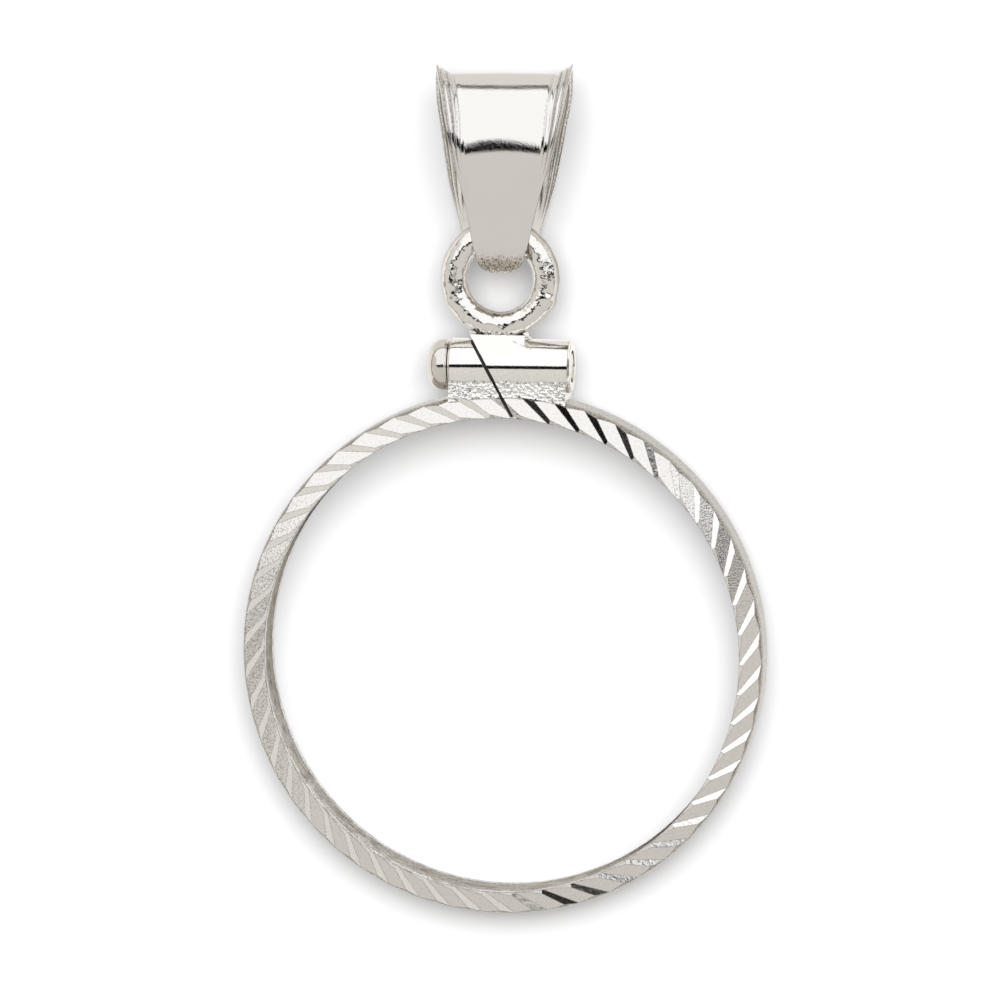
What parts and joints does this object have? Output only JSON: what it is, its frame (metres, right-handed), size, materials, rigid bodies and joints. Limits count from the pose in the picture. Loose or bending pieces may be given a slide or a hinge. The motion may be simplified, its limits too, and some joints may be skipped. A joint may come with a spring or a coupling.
{
  "type": "screw-top coin bezel pendant",
  "caption": "Silver ring that closes round a coin's edge with a screw in a cut tube, on a soldered jump ring and a tapered bail.",
  "frame": {"origin": "centre of the coin's seat, on the rim's axis, midway between its faces", "axes": "+Z along the rim's axis, out of the front; +Y from the rim to the bail; +X to the right, seen from the front"},
  "size_m": [0.0174, 0.0282, 0.004],
  "materials": {
    "silver": "polished sterling silver, with cut facets on the rim",
    "screw": "polished sterling silver, turned and threaded",
    "bail": "polished sterling silver, stamped sheet"
  },
  "bodies": {
    "bezel": {"bezel_frame": "silver", "bail": "bail"},
    "screw": {"clasp_screw": "screw"}
  },
  "joints": [
    {"name": "screw_out", "type": "slide", "parent": "bezel", "child": "screw", "axis": [-1, 0, 0], "range_m": [0, 0.0041]}
  ]
}
